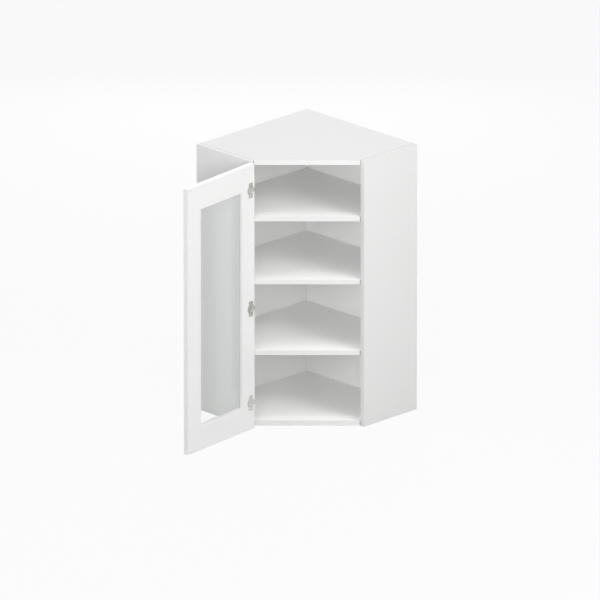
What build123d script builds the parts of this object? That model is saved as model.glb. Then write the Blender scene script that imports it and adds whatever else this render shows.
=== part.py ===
from build123d import *
import math
import os

# Diagonal corner wall cabinet with a framed glass door, standing open.
# The room's corner is the origin, level with the cabinet's underside. One wall runs along +X
# at y = 0, the other along -Y at x = 0, and the diagonal front faces +X, -Y. Millimetres.
# The door is drawn closed in a front frame, 45 degrees round from the room's, whose X runs
# along the front from hinge side to free side and whose -Y points out at the viewer.

# Box
wall_side = 600.0
end_depth = 290.0
height = 1080.0
board = 19.0

# Back panels, set in to leave room behind them for the wall plates
back_board = 8.0
back_recess = 13.0
groove_depth = 8.0
groove_play = 1.0
panel_ease = 0.8

# Pressed steel: the middle radius of its bends
sheet_bend = 2.0

# Steel angle that ties the back panels behind the corner
angle_leg = 20.0
angle_short_leg = 12.0
angle_sheet = 1.5
angle_end_gap = 3.0
angle_screws = 3
angle_screw_end = 90.0
angle_screw_in = 12.0
angle_short_screw_in = 7.0

# Shelves, with tops measured from the bottom panel's top, and the system holes
shelf_tops = {"lower": 288.0, "middle": 576.0, "upper": 832.0}
shelf_side_gap = 1.0
shelf_setback = 1.0
row_pitch = 32.0
row_edge = 37.0
spare_holes_each_way = 1
system_hole = 2.5
system_hole_depth = 12.0
pin_shank = 10.0
pin_collar_radius = 4.5
pin_collar = 1.2
pin_nose = 9.0
pin_nose_radius = 3.5
pin_seat = 2.0

# Corner brackets under the back of each shelf
bracket_leg = 46.0
bracket_sheet = 1.5
bracket_tip = 8.0
bracket_drop = 16.0
bracket_screw_side = 30.0
bracket_screw_drop = 9.0

# Eccentric locks, their bolts and the dowels between panels and sides
joint_front = 54.0
joint_step = 32.0
lock_radius = 7.5
lock_height = 12.5
lock_depth = 14.0
lock_back_set = 34.0
lock_slot = 7.6
lock_slot_start = 1.5
lock_play = 0.1
bolt_bore = 4.0
bolt_shaft = 3.0
bolt_neck = 2.0
bolt_neck_length = 5.0
bolt_head = 3.3
bolt_head_start = 1.0
bolt_head_length = 2.6
bolt_thread = 2.45
bolt_thread_length = 11.0
dowel_radius = 4.0
dowel_in_panel = 20.0
dowel_in_side = 10.0
dowel_end_gap = 1.0
cap_radius = 8.8
cap_thickness = 0.8

# Hangers in the top back corners and the wall plates that they hook on
hanger_width = 18.0
hanger_length = 44.0
hanger_height = 64.0
hanger_drop = 4.0
hanger_chamfer = 5.0
hook_centre_drop = 26.0
hook_sheet = 3.0
hook_height = 20.0
hook_inside = 30.0
hook_play = 4.0
hook_side_play = 1.0
finger = 3.0
finger_drop = 11.0
finger_wall_gap = 1.0
plate_sheet = 2.0
plate_length = 62.0
plate_side_gap = 4.0
plate_stand_off = 5.0
plate_lip = 16.0
plate_flat = 26.0
plate_hole_spacing = 32.0
plate_hole = 2.75
hanger_screw_drop = 6.0
hanger_screw_rise = 10.0
hanger_screw_length = 28.0
adjuster_radius = 2.5
adjuster_head_radius = 4.0
adjuster_spacing = 12.0

# Door frame
door_corner_gap = 3.8
door_front_gap = 2.0
door_end_gap = 2.0
door_thickness = 22.0
stile = 78.0
rail = 100.0
tenon_length = 20.0
tenon_thickness = 7.0
tenon_margin = 24.0
tenon_play = 0.2
outer_ease = 1.5
front_bevel = 3.0

# Glass, bedded on a seal and held by mitred beads
seat_width = 8.0
glass_thickness = 4.0
glass_play = 1.0
bead_depth = 10.5
bead_recess = 0.5
seal_thickness = 1.0
seal_width = 6.0
bumper_radius = 4.0
bumper_thickness = 1.8
bumper_inset = 18.0

# Single-pivot cup hinges
hinge_end = 106.0
hinge_under_shelf = 80.0
door_opening = 129.0
pivot_from_edge = 5.9
pivot_from_outer_face = 8.1
knuckle_radius = 4.0
hinge_pin_radius = 2.5
pin_clearance = 0.05
knuckle_height = 32.0
knuckle_part = 9.0
knuckle_gap = 0.4
pin_head_radius = 3.6
pin_head = 1.5
leaf_sheet = 1.3
leaf_edge_gap = 0.3
leaf_bend = 1.2
leaf_turn = 1.5
arm_sheet = 1.8
arm_length = 58.0
arm_bend = 2.6
arm_bend_back = 3.5
arm_bend_drop = 1.0
arm_window_back = 8.0
arm_turn_in = 3.0
arm_end_in = 1.0
arm_slot_width = 6.2
arm_slot_length = 12.0
arm_screw_radius = 2.9
arm_screw_play = 0.1
arm_screw_head = 5.2
arm_screw_spots = (12.0, 36.0)
cup_from_edge = 24.0
cup_radius = 17.5
cup_depth = 11.5
cup_dish_depth = 3.0
cup_dish_radius = 14.5
cup_dish_floor_radius = 12.0
cup_rim = 1.2
cup_rim_width = 2.0
cup_bore_play = 0.2
cup_bore_extra = 1.0
flange_height = 62.0
flange_width = 24.0
flange_corner = 5.0
cup_screw_spread = 48.0
cup_screw_length = 12.0
mount_plate_thickness = 4.0
mount_plate_length = 46.0
mount_plate_height = 22.0
wing_width = 13.0
wing_height = 44.0
wing_thickness = 2.0
wing_screw_radius = 2.45
wing_screw_length = 12.5
wing_screw_head = 4.2
screw_end_gap = 0.5

# Wood screws
screw_radius = 1.75
screw_length = 6.5
screw_head_radius = 3.4
screw_head = 1.6
bore_play = 0.05

# Length by which a cutting tool runs past the face that it opens
past = 1.0

# Sides of the many-sided bars that stand for small round fasteners and fittings
fastener_sides = 6
fitting_sides = 12

# Places worked out from the sizes above
inner_side = wall_side - board
back_face = back_recess + back_board
root2 = math.sqrt(2)
front_plane = (inner_side + end_depth) / root2
door_half_width = (inner_side - end_depth) / root2 - door_corner_gap
door_inner = front_plane + door_front_gap
pivot_across = -(door_half_width + pivot_from_edge)
pivot_out = door_inner + door_thickness - pivot_from_outer_face
pivot_x = (pivot_across + pivot_out) / root2
pivot_y = (pivot_across - pivot_out) / root2
hook_z = height - board - hanger_drop - hook_centre_drop
hook_x = inner_side - hanger_width / 2
lip_top = hook_z - hook_height / 2
lock_stations = [-end_depth + joint_front, -end_depth + joint_front + 4.5 * joint_step]
dowel_stations = [station + joint_step for station in lock_stations]
pin_rows = [-end_depth + row_edge, -back_face - row_edge]
shelf_undersides = dict(shelf_tops)


def block(low, high):
    """A box between two opposite corners."""
    size = [b - a for a, b in zip(low, high)]
    return Pos(*low) * Box(*size, align=(Align.MIN, Align.MIN, Align.MIN))


def peg(start, direction, radius, length):
    """A round bar from a point, along a direction."""
    bar = Cylinder(radius, length, align=(Align.CENTER, Align.CENTER, Align.MIN))
    return Plane(origin=start, z_dir=direction).location * bar


def stud(start, direction, radius, length, sides=fastener_sides):
    """A many-sided bar, for small fasteners and for bores that stay hidden in the boards."""
    bar = extrude(RegularPolygon(radius, sides), length)
    return Plane(origin=start, z_dir=direction).location * bar


def joined(pieces):
    """Pieces of one solid, fused."""
    pieces = list(pieces)
    return pieces[0].fuse(*pieces[1:])


def cut(body, tools):
    """A body with every tool taken out of it."""
    return body.cut(*tools)


def to_left(shape):
    """The left-hand copy of a right-hand shape, across the plane through the room's corner."""
    return mirror(shape, about=Plane(origin=(0, 0, 0), z_dir=(1, 1, 0)))


def bent_strip(points, thickness, bend):
    """The section of a sheet bent along a path, with the radius of its middle at the bends."""
    return trace(FilletPolyline(*points, radius=bend), thickness)


def screw(at, outwards, shank=screw_length, radius=screw_radius, head=screw_head_radius):
    """A screw whose pan head stands on a surface at a point with that outward direction."""
    into = [-value for value in outwards]
    return joined([stud(at, outwards, head, screw_head), stud(at, into, radius, shank)])


def pilot(at, outwards, shank=screw_length, radius=screw_radius):
    """The hole for such a screw."""
    into = [-value for value in outwards]
    return stud(at, into, radius + bore_play, shank + bore_play)


def pentagon(side, front_x, near=0.0):
    """Plan outline of a level board: two wall edges, two ends and the diagonal front."""
    outline = Polyline(
        (near, -near), (side, -near), (side, -front_x), (front_x, -side), (near, -side), close=True
    )
    return make_face(outline)


# Carcass

def groove_cuts():
    """The space that the back panels fill, grooves included, as cutting tools."""
    low = board - groove_depth
    high = height - board + groove_depth
    right = block((back_recess, -back_face, low), (inner_side + groove_depth, -back_recess, high))
    left = block((back_recess, -inner_side - groove_depth, low), (back_face, -back_recess, high))
    return [right, left]


def lock_places():
    """Each right-hand lock: its centre, and whether its face points up or down."""
    places = []
    for level, face in ((height - board, -1), (board, 1)):
        for station in lock_stations:
            places.append(((inner_side - lock_back_set, station, level), face))
    return places


def lock_tools():
    """Right-hand bores for locks and bolts in the level panels."""
    tools = []
    for (x, y, level), face in lock_places():
        middle = level - face * board / 2
        radius = lock_radius + lock_play
        tools.append(stud((x, y, level), (0, 0, -face), radius, lock_depth, fitting_sides))
        tools.append(stud((x, y, middle), (1, 0, 0), bolt_bore, lock_back_set))
    return tools


def dowel_bars(play=0.0, end_play=0.0):
    """Right-hand dowels, or the bores for them."""
    bars = []
    for level in (height - board / 2, board / 2):
        for station in dowel_stations:
            start = (inner_side - dowel_in_panel - end_play, station, level)
            length = dowel_in_panel + dowel_in_side + 2 * end_play
            bars.append(stud(start, (1, 0, 0), dowel_radius + play, length))
    return bars


def bolt_thread_bores():
    """Right-hand bores in the side panel for the lock bolts' threads."""
    bores = []
    for (x, y, level), face in lock_places():
        start = (inner_side, y, level - face * board / 2)
        bores.append(stud(start, (1, 0, 0), bolt_thread + bore_play, bolt_thread_length))
    return bores


def level_panel(bottom):
    """The top or bottom panel, grooved for the backs and bored for its joints."""
    panel = Pos(0, 0, bottom) * extrude(pentagon(inner_side, end_depth), board)
    right = lock_tools() + dowel_bars(bore_play, dowel_end_gap)
    return cut(panel, groove_cuts() + right + [to_left(tool) for tool in right])


def pin_height(underside):
    return underside - pin_seat


def row_holes():
    """Right-hand holes for shelf pins, with spare ones above and below each pin."""
    tools = []
    for underside in shelf_undersides.values():
        for step in range(-spare_holes_each_way, spare_holes_each_way + 1):
            level = pin_height(underside) + step * row_pitch
            for row in pin_rows:
                start = (inner_side, row, level)
                depth = system_hole_depth
                tools.append(stud(start, (1, 0, 0), system_hole, depth, fitting_sides))
    return tools


def end_panel():
    """The right side panel."""
    panel = block((inner_side, -end_depth, 0), (wall_side, 0, height))
    bores = dowel_bars(bore_play, dowel_end_gap) + bolt_thread_bores()
    right_groove = groove_cuts()[:1]
    panel = cut(panel, right_groove + bores + row_holes() + hanger_screw_holes())
    front_edges = panel.edges().filter_by(Axis.Z).group_by(Axis.Y)[0]
    return fillet(front_edges, panel_ease)


def left_side_panel():
    """The left side panel also takes the hinges' mounting screws."""
    return cut(to_left(end_panel()), wing_screw_holes())


def back_ends():
    """Lowest and highest level of a back panel, and its end in the side panel's groove."""
    inside = groove_depth - groove_play
    return board - inside, height - board + inside, inner_side + inside


def hook_window():
    """The hole in a back panel that the hook reaches through, on the right."""
    half = hook_height / 2 + hook_play
    low = (hook_x - hook_sheet / 2 - hook_play, -back_face, hook_z - half)
    high = (hook_x + hook_sheet / 2 + hook_play, -back_recess, hook_z + half)
    return block(low, high)


def angle_screw_levels():
    span = height - 2 * angle_screw_end
    return [angle_screw_end + span * step / (angle_screws - 1) for step in range(angle_screws)]


def angle_screw_places():
    """Screws through the angle: one row into each back panel."""
    outer = back_recess - angle_sheet
    right_across = back_recess + angle_screw_in
    left_across = back_face + angle_short_screw_in
    places = []
    for level in angle_screw_levels():
        places.append(((right_across, -outer, level), (0, 1, 0)))
        places.append(((outer, -left_across, level), (-1, 0, 0)))
    return places


def back_screw_holes():
    """Pilot holes in the backs for the angle's and the shelf brackets' screws."""
    return [pilot(at, out) for at, out in angle_screw_places() + bracket_screw_places()]


def right_back_panel():
    """This back panel runs through behind the corner, its edge eased for the angle's bend."""
    low, high, end = back_ends()
    panel = block((back_recess, -back_face, low), (end, -back_recess, high))
    corner = panel.edges().filter_by(Axis.Z).group_by(Axis.X)[0].sort_by(Axis.Y)[-1]
    panel = chamfer(corner, sheet_bend - angle_sheet / 2)
    return cut(panel, [hook_window()] + back_screw_holes())


def left_back_panel():
    """This back panel butts against the other."""
    low, high, end = back_ends()
    panel = block((back_recess, -end, low), (back_face, -back_face, high))
    return cut(panel, [to_left(hook_window())] + back_screw_holes())


def back_corner_angle():
    """A steel angle round the outside of the backs' corner."""
    near = back_recess - angle_sheet / 2
    right_end = (back_recess + angle_leg, -near)
    left_end = (near, -back_face - angle_short_leg)
    section = bent_strip([right_end, (near, -near), left_end], angle_sheet, sheet_bend)
    low = board + angle_end_gap
    angle = Pos(0, 0, low) * extrude(section, height - 2 * board - 2 * angle_end_gap)
    return cut(angle, [pilot(at, out) for at, out in angle_screw_places()])


def back_corner_screws():
    return [screw(at, out) for at, out in angle_screw_places()]


# Shelves

def shelf(underside):
    """A loose shelf, clear of backs and sides, its front in line with the panels' fronts."""
    side = inner_side - shelf_side_gap
    front_x = inner_side + end_depth - side - shelf_setback * root2
    near = back_face + shelf_side_gap
    return Pos(0, 0, underside) * extrude(pentagon(side, front_x, near), board)


def shelf_pin(at):
    """A plug-in pin: shank in the side, collar, and a nose with a flat for the shelf."""
    shank = stud(at, (1, 0, 0), system_hole - bore_play, pin_shank, fitting_sides)
    collar = stud(at, (-1, 0, 0), pin_collar_radius, pin_collar)
    nose = stud(at, (-1, 0, 0), pin_nose_radius, pin_nose)
    pin = joined([shank, collar, nose])
    x, y, z = at
    reach = 2 * pin_collar_radius
    above = block((x - pin_nose, y - reach, z + pin_seat), (x, y + reach, z + reach))
    return pin.cut(above)


def shelf_pins(underside):
    right = [shelf_pin((inner_side, row, pin_height(underside))) for row in pin_rows]
    return right + [to_left(pin) for pin in right]


def bracket_screw_places():
    """Screws that fix the corner brackets to the backs."""
    places = []
    face = back_face + bracket_sheet
    for underside in shelf_undersides.values():
        level = underside - bracket_screw_drop
        places.append(((back_face + bracket_screw_side, -face, level), (0, -1, 0)))
        places.append(((face, -back_face - bracket_screw_side, level), (1, 0, 0)))
    return places


def shelf_bracket(underside):
    """A pressed corner bracket: a triangular seat and two flanges on the backs."""
    near = back_face
    far = back_face + bracket_leg
    tip = near + bracket_tip
    corners = [(near, -near), (far, -near), (far, -tip), (tip, -far), (near, -far)]
    outline = make_face(Polyline(*corners, close=True))
    seat = Pos(0, 0, underside - bracket_sheet) * extrude(outline, bracket_sheet)
    drop = underside - bracket_drop
    right = block((near, -near - bracket_sheet, drop), (far, -near, underside))
    left = block((near, -far, drop), (near + bracket_sheet, -near, underside))
    bracket = joined([seat, right, left])
    return cut(bracket, [pilot(at, out) for at, out in bracket_screw_places()])


def bracket_screws():
    return [screw(at, out) for at, out in bracket_screw_places()]


# Panel fittings

def lock(centre, face):
    """An eccentric lock: a drum with a slot for the bolt's head."""
    x, y, level = centre
    middle = level - face * board / 2
    half = lock_slot / 2
    drum = stud(centre, (0, 0, -face), lock_radius, lock_height, fitting_sides)
    slot_low = (x - lock_slot_start, y - half, middle - half)
    slot_high = (x + lock_radius + past, y + half, middle + half)
    return cut(drum, [block(slot_low, slot_high)])


def lock_bolt(centre, face):
    """A bolt: thread in the side, shaft, thin neck, and the head that the lock draws in."""
    x, y, level = centre
    middle = level - face * board / 2
    thread = stud((inner_side, y, middle), (1, 0, 0), bolt_thread, bolt_thread_length)
    head_end = x + bolt_head_start
    neck_start = head_end + bolt_head_length
    shaft_start = neck_start + bolt_neck_length
    head = stud((head_end, y, middle), (1, 0, 0), bolt_head, bolt_head_length)
    neck = stud((neck_start, y, middle), (1, 0, 0), bolt_neck, bolt_neck_length)
    shaft = stud((shaft_start, y, middle), (1, 0, 0), bolt_shaft, inner_side - shaft_start)
    return joined([thread, shaft, neck, head])


def lock_cap(centre, face):
    """A thin plastic disc over a lock."""
    return stud(centre, (0, 0, face), cap_radius, cap_thickness, fitting_sides)


def both_sides(shapes):
    return shapes + [to_left(shape) for shape in shapes]


# Hangers

def hanger_screw_places():
    front = inner_side - hanger_width
    top = height - board - hanger_drop
    row = -back_face - hanger_length / 2
    levels = (top - hanger_screw_drop, top - hanger_height + hanger_screw_rise)
    return [((front, row, level), (-1, 0, 0)) for level in levels]


def hanger_screw_holes():
    return [pilot(at, out, hanger_screw_length) for at, out in hanger_screw_places()]


def hanger_housing():
    """A moulded housing, open at the back, that guides and carries the hook."""
    top = height - board - hanger_drop
    low = (inner_side - hanger_width, -back_face - hanger_length, top - hanger_height)
    body = block(low, (inner_side, -back_face, top))
    body = chamfer(body.edges().filter_by(Axis.X).group_by(Axis.Y)[0], hanger_chamfer)
    half = hook_height / 2 + hook_play
    beside = hook_sheet / 2 + hook_side_play
    deep = -back_face - hook_inside - 2 * hook_side_play
    pocket_low = (hook_x - beside, deep, hook_z - half)
    pocket_high = (hook_x + beside, -back_face, hook_z + half)
    tools = [block(pocket_low, pocket_high)] + hanger_screw_holes()
    for at, out in adjuster_places():
        tools.append(pilot(at, out, hanger_length - hook_inside, adjuster_radius))
    return cut(body, tools)


def hanger_hook():
    """A steel hook: a flat tongue with a finger that drops behind the wall plate's lip."""
    inner = -back_face - hook_inside
    wall = -finger_wall_gap
    high = hook_z + hook_height / 2
    tip = lip_top - finger_drop
    outline = Polyline(
        (inner, lip_top), (wall - finger, lip_top), (wall - finger, tip), (wall, tip),
        (wall, high), (inner, high), close=True,
    )
    section = Plane(origin=(hook_x - hook_sheet / 2, 0, 0), x_dir=(0, 1, 0), z_dir=(1, 0, 0))
    return extrude(section * make_face(outline), hook_sheet)


def adjuster_places():
    face = -back_face - hanger_length
    half = adjuster_spacing / 2
    return [((hook_x, face, hook_z + step), (0, -1, 0)) for step in (-half, half)]


def adjusters():
    """The two screws that raise the hook and draw it in."""
    reach = hanger_length - hook_inside - bore_play
    places = adjuster_places()
    return [screw(at, out, reach, adjuster_radius, adjuster_head_radius) for at, out in places]


def wall_plate():
    """A pressed steel strip: flat on the wall below, its lip standing off above."""
    stand = plate_stand_off + plate_sheet / 2
    lip_foot = lip_top - plate_lip
    flat_top = lip_foot - plate_stand_off
    path = [
        (-stand, lip_top), (-stand, lip_foot),
        (-plate_sheet / 2, flat_top), (-plate_sheet / 2, flat_top - plate_flat),
    ]
    start = inner_side - plate_side_gap - plate_length
    section = Plane(origin=(start, 0, 0), x_dir=(0, 1, 0), z_dir=(1, 0, 0))
    plate = extrude(section * bent_strip(path, plate_sheet, sheet_bend), plate_length)
    level = flat_top - plate_flat / 2
    middle = start + plate_length / 2
    holes = []
    for step in (-1, 1):
        start = (middle + step * plate_hole_spacing / 2, -plate_sheet - past, level)
        holes.append(peg(start, (0, 1, 0), plate_hole, plate_sheet + 2 * past))
    return cut(plate, holes)


# Door, drawn closed in the front frame

def swing_open(shape):
    """Turns a closed, front-frame shape to the open door's place in the room."""
    about_pin = Pos(pivot_across, -pivot_out, 0) * Rot(0, 0, -door_opening)
    return Rot(0, 0, 45) * about_pin * Pos(-pivot_across, pivot_out, 0) * shape


def front_block(across, depth, level):
    """A box in the front frame; depth runs from the door's inner face outwards."""
    near, far = depth
    low = (across[0], -door_inner - far, level[0])
    return block(low, (across[1], -door_inner - near, level[1]))


def sight():
    """The clear opening of the frame: half width, lowest and highest level."""
    low = door_end_gap + rail
    return door_half_width - stile, low, height - low


def glass_seat():
    """The rebate for seal, glass and beads, open to the door's inner face."""
    half, low, high = sight()
    deep = bead_recess + bead_depth + glass_thickness + seal_thickness
    return front_block(
        (-half - seat_width, half + seat_width), (0, deep), (low - seat_width, high + seat_width)
    )


def tenon(level, side, play=0.0):
    """A rail's end tenon, or its mortise."""
    half = door_half_width - stile
    low = level[0] + tenon_margin - play
    high = level[1] - tenon_margin + play
    ends = sorted((side * half, side * (half + tenon_length + play)))
    near = (door_thickness - tenon_thickness) / 2 - play
    return front_block(ends, (near, door_thickness - near), (low, high))


def rail_levels():
    low = (door_end_gap, door_end_gap + rail)
    high = (height - door_end_gap - rail, height - door_end_gap)
    return {"bottom": low, "top": high}


def door_stile(side):
    """A stile, the full height of the door, its outer edges eased on both faces."""
    edges = sorted((side * door_half_width, side * (door_half_width - stile)))
    post = front_block(edges, (0, door_thickness), (door_end_gap, height - door_end_gap))
    long_edges = post.edges().filter_by(Axis.Z).sort_by(Axis.X)
    outer = list(long_edges[:2] if side < 0 else long_edges[-2:])
    post = fillet(outer + list(post.edges().filter_by(Axis.X)), outer_ease)
    mortises = [tenon(level, side, tenon_play) for level in rail_levels().values()]
    return cut(post, [glass_seat(), bevel_tool()] + mortises)


def bevel_tool():
    """A tapered block that bevels the sight edge on the outer face."""
    half, low, high = sight()
    outer_face = -door_inner - door_thickness
    wide = 2 * (half + front_bevel)
    tall = high - low + 2 * front_bevel
    middle = (0, outer_face, (low + high) / 2)
    front = Plane(origin=middle, x_dir=(1, 0, 0), z_dir=(0, 1, 0))
    return extrude(front * Rectangle(wide, tall), front_bevel, taper=45)


def door_rail(name):
    """A rail between the stiles, with a tenon at each end."""
    half = door_half_width - stile
    level = rail_levels()[name]
    bar = front_block((-half, half), (0, door_thickness), level)
    outer = bar.edges().filter_by(Axis.X).sort_by(Axis.Z)
    outer = outer[:2] if name == "bottom" else outer[-2:]
    bar = fillet(outer, outer_ease)
    bar = cut(bar, [glass_seat(), bevel_tool()])
    return joined([bar, tenon(level, -1), tenon(level, 1)])


def glass_pane():
    half, low, high = sight()
    reach = seat_width - glass_play
    near = bead_recess + bead_depth
    return front_block(
        (-half - reach, half + reach), (near, near + glass_thickness), (low - reach, high + reach)
    )


def glass_seal():
    """A thin seal between the glass and the frame's lip."""
    half, low, high = sight()
    near = bead_recess + bead_depth + glass_thickness
    reach = seat_width - glass_play
    inner = reach - seal_width
    depth = (near, near + seal_thickness)
    outside = front_block((-half - reach, half + reach), depth, (low - reach, high + reach))
    return outside.cut(front_block((-half - inner, half + inner), depth, (low - inner, high + inner)))


def bead(side):
    """One mitred bead of the four that hold the glass."""
    half, low, high = sight()
    wide = half + seat_width
    under = low - seat_width
    over = high + seat_width
    corners = {
        "hinge_side": [(-wide, under), (-half, low), (-half, high), (-wide, over)],
        "free_side": [(wide, under), (half, low), (half, high), (wide, over)],
        "bottom": [(-wide, under), (-half, low), (half, low), (wide, under)],
        "top": [(-wide, over), (-half, high), (half, high), (wide, over)],
    }
    face = Plane(origin=(0, -door_inner - bead_recess, 0), x_dir=(1, 0, 0), z_dir=(0, -1, 0))
    return extrude(face * make_face(Polyline(*corners[side], close=True)), bead_depth)


def bumpers():
    """Soft pads on the inner face that meet the top and bottom panels' fronts."""
    across = door_half_width - bumper_inset
    return [
        peg((across, -door_inner, level), (0, 1, 0), bumper_radius, bumper_thickness)
        for level in (board / 2, height - board / 2)
    ]


# Hinges

def hinge_levels():
    """Each hinge's level, with its plate's two screws on the pitch of the pin holes."""
    shelf_pin_level = pin_height(shelf_undersides["middle"])
    middle = shelf_pin_level - hinge_under_shelf
    steps_down = round((middle - hinge_end) / row_pitch)
    steps_up = round((height - hinge_end - middle) / row_pitch)
    lower = middle - steps_down * row_pitch
    upper = middle + steps_up * row_pitch
    return {"lower": lower, "middle": middle, "upper": upper}


def upright(x, y, low, high, radius):
    """A round bar between two levels."""
    return peg((x, y, low), (0, 0, 1), radius, high - low)


def knuckle_levels(level):
    """Ends of the whole knuckle, then of its middle part, which is the door's."""
    half = knuckle_height / 2
    inside = half - knuckle_part
    return level - half, level + half, level - inside, level + inside


def hinge_pin(level):
    """The pin, with a head at each end."""
    low, high = knuckle_levels(level)[:2]
    shank = upright(pivot_x, pivot_y, low - pin_head, high + pin_head, hinge_pin_radius)
    lower_head = upright(pivot_x, pivot_y, low - pin_head, low, pin_head_radius)
    upper_head = upright(pivot_x, pivot_y, high, high + pin_head, pin_head_radius)
    return joined([shank, lower_head, upper_head])


def arm_screw_places():
    """Each arm's two screws: one in a slot for adjustment, one in a hole."""
    top = -inner_side + mount_plate_thickness + arm_sheet
    start = end_depth - arm_length
    places = []
    for level in hinge_levels().values():
        for spot in arm_screw_spots:
            places.append(((start + spot, top, level), (0, 1, 0)))
    return places


def arm_screw_reach():
    return arm_sheet + mount_plate_thickness - screw_end_gap


def hinge_arm(level):
    """A cranked arm: flat on the mounting plate, round the panel's end to two knuckles."""
    low, high, gap_low, gap_high = knuckle_levels(level)
    middle = -inner_side + mount_plate_thickness + arm_sheet / 2
    door_corner_x = (door_inner - door_half_width) / root2
    crank = (end_depth + door_corner_x) / 2
    start = end_depth - arm_length
    path = [
        (start, middle),
        (end_depth - arm_bend_back, middle),
        (crank, -inner_side - arm_bend_drop),
        (crank, pivot_y + arm_turn_in),
        (pivot_x - knuckle_radius / 2, pivot_y + arm_end_in),
    ]
    arm = Pos(0, 0, low) * extrude(bent_strip(path, arm_sheet, arm_bend), knuckle_height)
    arm = joined([arm, upright(pivot_x, pivot_y, low, high, knuckle_radius)])
    window_low = (end_depth - arm_window_back, pivot_y - 2 * knuckle_radius, gap_low)
    window_high = (pivot_x + 2 * knuckle_radius, middle + arm_sheet, gap_high)
    bore = hinge_pin_radius + pin_clearance
    tools = [
        block(window_low, window_high),
        upright(pivot_x, pivot_y, low - past, high + past, bore),
    ]
    under, over = middle - arm_sheet, middle + arm_sheet
    slot_x = start + arm_screw_spots[0]
    half_long, half_wide = arm_slot_length / 2, arm_slot_width / 2
    slot_low = (slot_x - half_long, under, level - half_wide)
    tools.append(block(slot_low, (slot_x + half_long, over, level + half_wide)))
    hole_at = (start + arm_screw_spots[1], under, level)
    tools.append(peg(hole_at, (0, 1, 0), arm_screw_radius + arm_screw_play, over - under))
    return cut(arm, tools)


def arm_screws():
    """Screws that hold the arms on their plates."""
    reach = arm_screw_reach()
    places = arm_screw_places()
    return [screw(at, out, reach, arm_screw_radius, arm_screw_head) for at, out in places]


def mount_plate(level):
    """A mounting plate with a wing above and below, on the line of the pin holes."""
    face = -inner_side
    start = end_depth - arm_length
    row = end_depth - row_edge
    spine_half, wing_half = mount_plate_height / 2, wing_height / 2
    spine_high = (start + mount_plate_length, face + mount_plate_thickness, level + spine_half)
    spine = block((start, face, level - spine_half), spine_high)
    wing_low = (row - wing_width / 2, face, level - wing_half)
    wing_high = (row + wing_width / 2, face + wing_thickness, level + wing_half)
    plate = joined([spine, block(wing_low, wing_high)])
    reach = arm_screw_reach()
    bores = [pilot(at, out, reach, arm_screw_radius) for at, out in arm_screw_places()]
    return cut(plate, bores + wing_screw_holes())


def wing_screw_places():
    """Screws through the plates' wings, one hole pitch apart."""
    row = end_depth - row_edge
    surface = -inner_side + wing_thickness
    places = []
    for level in hinge_levels().values():
        for step in (-row_pitch / 2, row_pitch / 2):
            places.append(((row, surface, level + step), (0, 1, 0)))
    return places


def wing_screw_holes():
    depth = wing_screw_length + screw_end_gap
    return [pilot(at, out, depth, wing_screw_radius) for at, out in wing_screw_places()]


def wing_screws():
    """Screws that hold the mounting plates to the left side panel."""
    length, radius = wing_screw_length, wing_screw_radius
    return [screw(at, out, length, radius, wing_screw_head) for at, out in wing_screw_places()]


def cup_centre(level):
    return (-door_half_width + cup_from_edge, -door_inner, level)


def cup_bore(level):
    """The bore for a hinge cup, open to the door's inner face."""
    radius = cup_radius + cup_bore_play
    return peg(cup_centre(level), (0, -1, 0), radius, cup_depth + cup_bore_extra)


def hinge_cup(level):
    """A dished cup with its flange, and a leaf that wraps the door's edge to a knuckle."""
    x, y, z = cup_centre(level)
    outer = peg((x, y, z), (0, -1, 0), cup_radius, cup_depth)
    dish_at_bottom = (Align.CENTER, Align.CENTER, Align.MIN)
    radii = (cup_dish_radius, cup_dish_floor_radius)
    dish = Cone(*radii, cup_dish_depth, align=dish_at_bottom)
    dish = Plane(origin=(x, y + cup_rim, z), z_dir=(0, -1, 0)).location * dish
    plate = Plane(origin=(x, y, z), x_dir=(1, 0, 0), z_dir=(0, 1, 0))
    outline = RectangleRounded(flange_width, flange_height, flange_corner)
    flange = extrude(plate * outline, cup_rim)
    rim = peg((x, y, z), (0, 1, 0), cup_radius + cup_rim_width, cup_rim)
    gap_low, gap_high = knuckle_levels(level)[2:]
    leaf_low, leaf_high = gap_low + knuckle_gap, gap_high - knuckle_gap
    edge = -door_half_width - leaf_sheet / 2 - leaf_edge_gap
    path = [
        (x - cup_radius + cup_rim, y + leaf_sheet / 2),
        (edge, y + leaf_sheet / 2),
        (edge, -pivot_out + leaf_turn),
        (pivot_across + knuckle_radius / 2, -pivot_out),
    ]
    leaf = extrude(bent_strip(path, leaf_sheet, leaf_bend), leaf_high - leaf_low)
    leaf = Pos(0, 0, leaf_low) * leaf
    knuckle = upright(pivot_across, -pivot_out, leaf_low, leaf_high, knuckle_radius)
    bore_radius = hinge_pin_radius + pin_clearance
    bore = upright(pivot_across, -pivot_out, leaf_low - past, leaf_high + past, bore_radius)
    holes = [pilot(at, out, cup_screw_length) for at, out in cup_screw_places([level])]
    return cut(joined([outer, flange, rim, leaf, knuckle]), [dish, bore] + holes)


def cup_screw_places(levels):
    """Two screws through each cup's flange."""
    places = []
    for level in levels:
        x, y, z = cup_centre(level)
        for step in (-cup_screw_spread / 2, cup_screw_spread / 2):
            places.append(((x, y + cup_rim, z + step), (0, 1, 0)))
    return places


def cup_screws():
    places = cup_screw_places(hinge_levels().values())
    return [screw(at, out, cup_screw_length) for at, out in places]


def hinge_stile():
    """The stile on the hinge side, bored for the cups and their screws."""
    levels = hinge_levels().values()
    tools = [cup_bore(level) for level in levels]
    tools += [pilot(at, out, cup_screw_length) for at, out in cup_screw_places(levels)]
    return cut(door_stile(-1), tools)


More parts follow.
